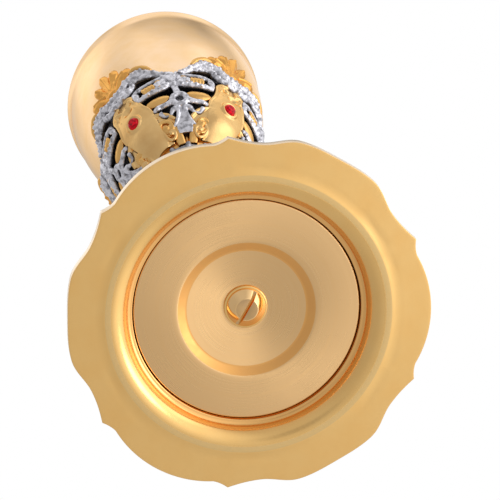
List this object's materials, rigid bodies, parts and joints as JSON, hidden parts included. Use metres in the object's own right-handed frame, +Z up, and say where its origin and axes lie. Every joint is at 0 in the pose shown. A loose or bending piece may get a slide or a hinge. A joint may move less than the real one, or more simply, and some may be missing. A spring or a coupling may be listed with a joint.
{
  "type": "chalice",
  "caption": "Baroque two-tone chalice: lobed gilt foot with turned underside, knotted stem, cast calyx with crosses and red stones, plain flared cup.",
  "frame": {"origin": "centre of the flat resting plane under the foot", "axes": "+Z up along the stem, +X through the middle of a narrow lobe of the foot"},
  "size_m": [0.1297, 0.1288, 0.3035],
  "materials": {
    "gilt_polished": "polished 24 kt gilt plating",
    "gilt_satin": "satin gilt plating",
    "gilt_brushed": "lathe-brushed gilt plating",
    "gilt_cast": "cast gilt with darker hollows",
    "silver_cast": "silver-plated casting, oxidised in its hollows",
    "silver_dark": "silver plating oxidised nearly black",
    "red_stone": "faceted red glass"
  },
  "bodies": {
    "root": {"foot_casting": "gilt_satin", "foot_bottom_disc": "gilt_brushed", "foot_shield_1": "gilt_cast", "foot_shield_2": "gilt_cast", "foot_shield_3": "gilt_cast", "foot_stone_1": "red_stone", "foot_stone_2": "red_stone", "foot_stone_3": "red_stone", "foot_cross_1": "silver_cast", "foot_cross_2": "silver_cast", "foot_cross_3": "silver_cast", "foot_scroll_1": "silver_cast", "foot_scroll_2": "silver_cast", "foot_scroll_3": "silver_cast", "tie_bolt": "gilt_polished", "bolt_washer": "gilt_polished", "foot_collar": "gilt_polished", "lower_baluster": "gilt_polished", "knot_lower_collar": "silver_cast", "knot_core": "gilt_polished", "knot_band": "silver_cast", "knot_upper_collar": "silver_cast", "upper_baluster": "gilt_polished", "knot_stone_1": "red_stone", "knot_stone_2": "red_stone", "knot_stone_3": "red_stone", "knot_stone_4": "red_stone", "calyx_collar": "silver_cast", "calyx_base": "gilt_cast", "calyx_cup": "silver_dark", "calyx_shield_1": "gilt_cast", "calyx_shield_2": "gilt_cast", "calyx_shield_3": "gilt_cast", "calyx_shield_4": "gilt_cast", "calyx_stone_1": "red_stone", "calyx_stone_2": "red_stone", "calyx_stone_3": "red_stone", "calyx_stone_4": "red_stone", "calyx_cross_1": "silver_cast", "calyx_cross_2": "silver_cast", "calyx_cross_3": "silver_cast", "calyx_cross_4": "silver_cast", "calyx_scroll_1": "silver_cast", "calyx_scroll_2": "silver_cast", "calyx_scroll_3": "silver_cast", "calyx_scroll_4": "silver_cast", "calyx_crest_1": "gilt_cast", "calyx_crest_2": "gilt_cast", "calyx_crest_3": "gilt_cast", "calyx_crest_4": "gilt_cast", "bowl": "gilt_polished", "bowl_boss": "gilt_polished"}
  },
  "joints": []
}
